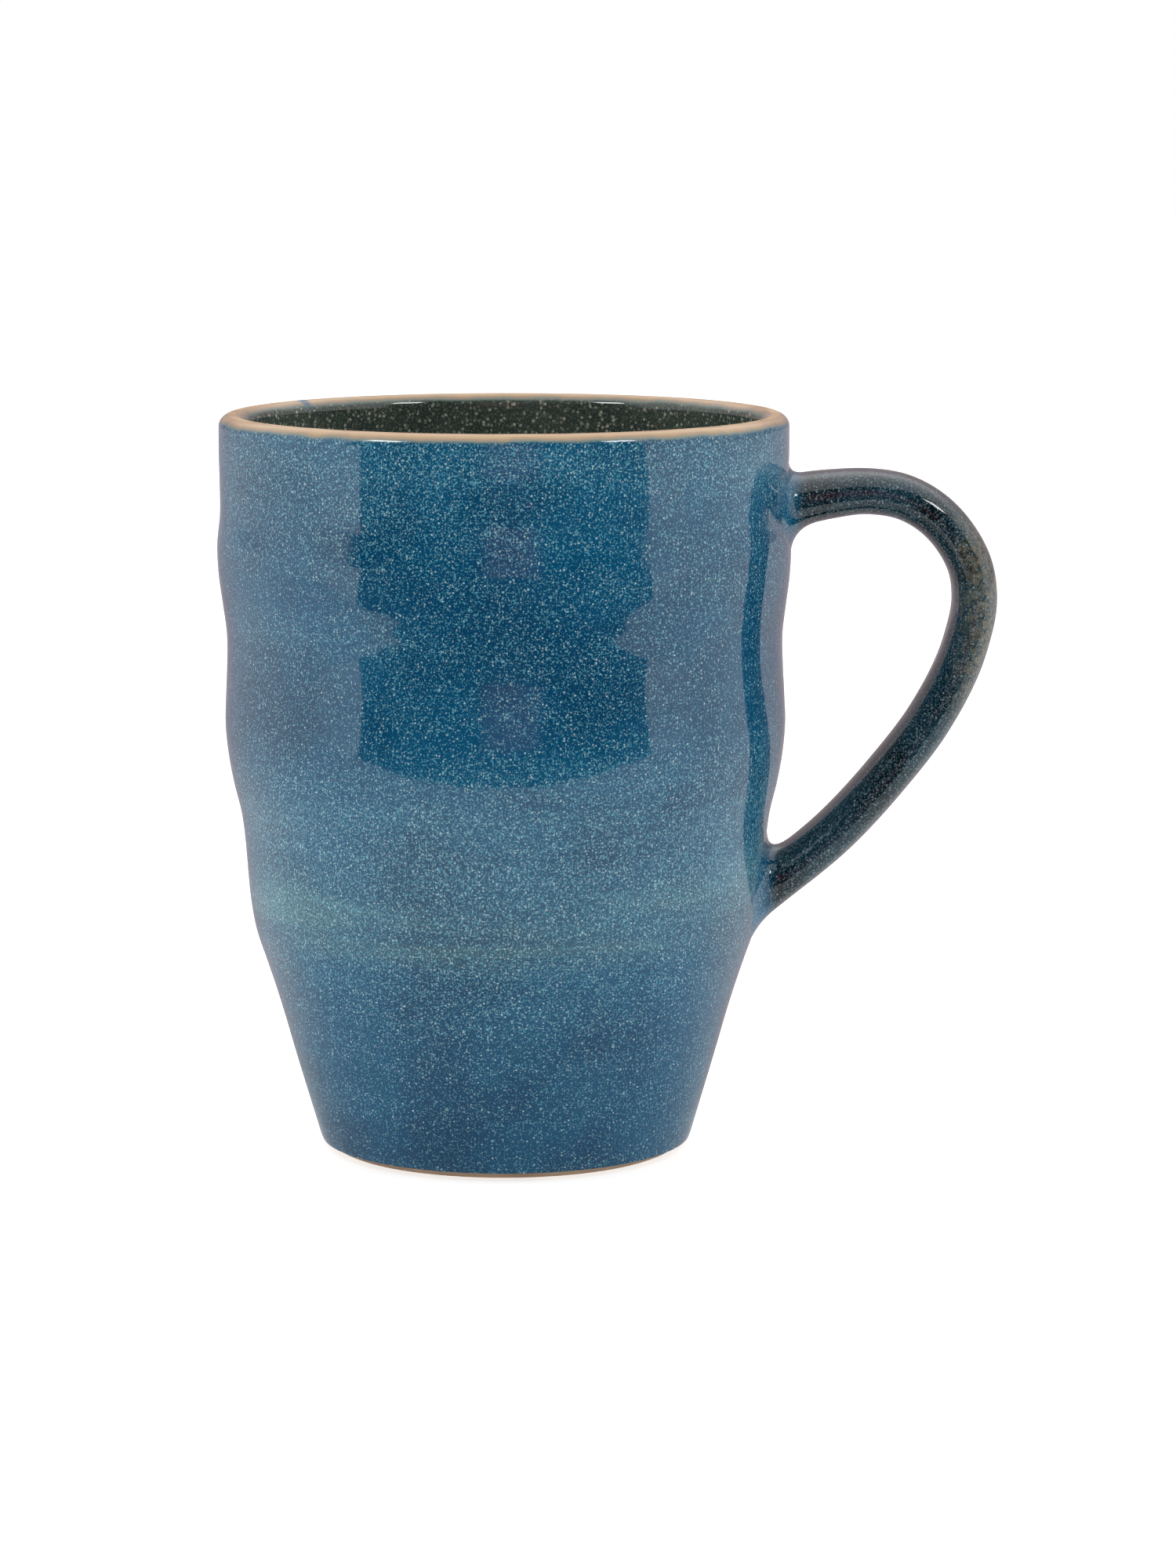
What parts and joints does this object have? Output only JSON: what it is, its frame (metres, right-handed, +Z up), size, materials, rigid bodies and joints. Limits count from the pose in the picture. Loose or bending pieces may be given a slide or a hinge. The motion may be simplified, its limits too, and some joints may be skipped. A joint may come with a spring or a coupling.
{
  "type": "ceramic mug",
  "caption": "Glazed stoneware mug with a tapered foot, soft throwing rings in its wall, a rounded bare lip and one strap handle on the side.",
  "frame": {"origin": "on the cup's own axis, in the plane of the flat foot that the mug stands on", "axes": "+Z up along the cup's axis, +X from the axis through the middle of the handle, +Y across the handle"},
  "size_m": [0.1198, 0.0882, 0.114],
  "materials": {
    "clay": "bare fired stoneware, matte",
    "slip": "bare fired slip, matte",
    "blue_glaze": "glossy reactive glaze, blue with fine pale speckles, tan where it breaks at the lip",
    "dark_glaze": "glossy dark green-grey glaze with fine pale speckles",
    "handle_glaze": "glossy dark blue glaze with fine pale speckles, tan where it breaks over the handle's edges"
  },
  "bodies": {
    "root": {"cup_body": "clay", "handle": "clay", "upper_handle_joint": "slip", "lower_handle_joint": "slip", "wall_glaze": "blue_glaze", "liner_glaze": "dark_glaze", "handle_glaze": "handle_glaze"}
  },
  "joints": []
}
